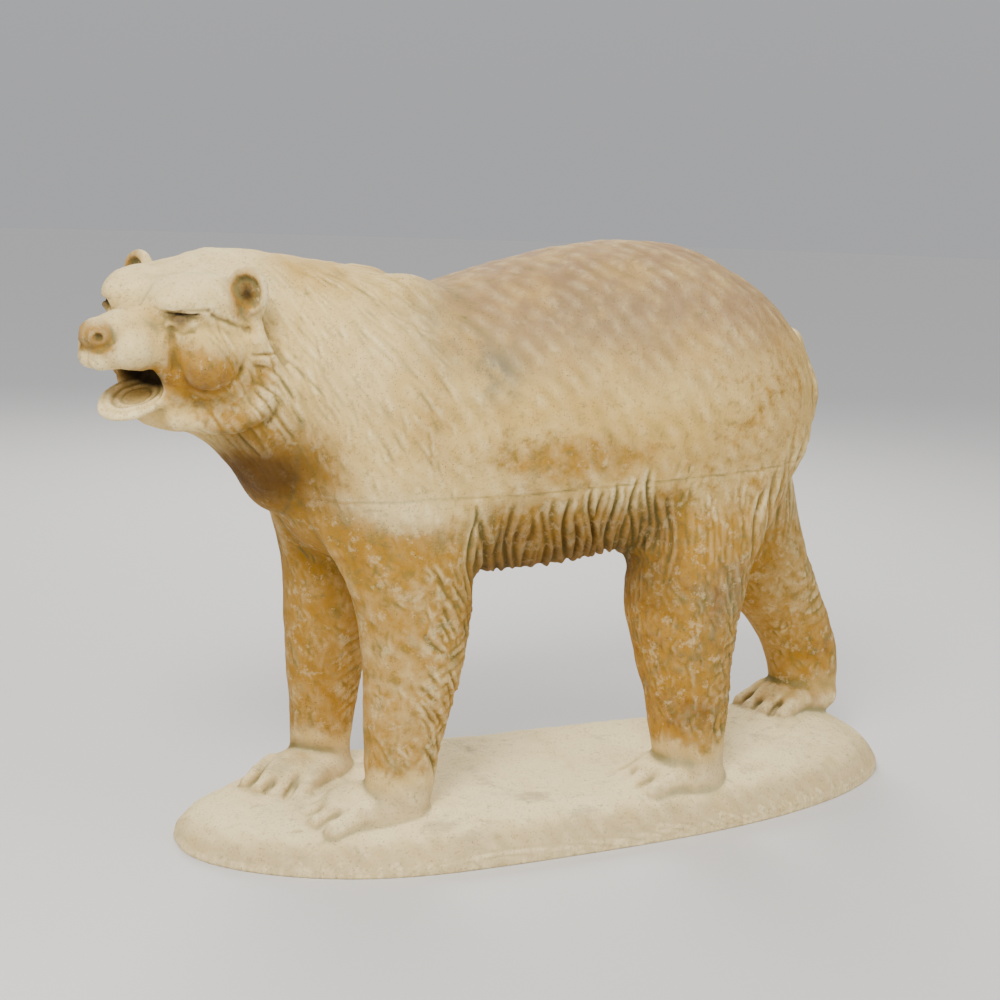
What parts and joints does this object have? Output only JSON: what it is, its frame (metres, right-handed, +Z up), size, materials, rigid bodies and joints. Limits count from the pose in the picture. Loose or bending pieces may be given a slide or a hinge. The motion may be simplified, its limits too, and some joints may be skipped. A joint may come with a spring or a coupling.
{
  "type": "bear sculpture",
  "caption": "Garden or park sculpture of a walking bear with its head turned and mouth open, cast in pale stone in one piece with the low rounded mound it stands on.",
  "frame": {"origin": "on the flat underside of the mound, below the middle of the whole work", "axes": "+Z up, X along the bear's length with its head toward -X, the bear's left side toward -Y"},
  "size_m": [1.942, 0.5912, 1.2353],
  "materials": {
    "stone": "weathered cast stone with an ochre patina"
  },
  "bodies": {
    "root": {"bear_on_mound": "stone"}
  },
  "joints": []
}
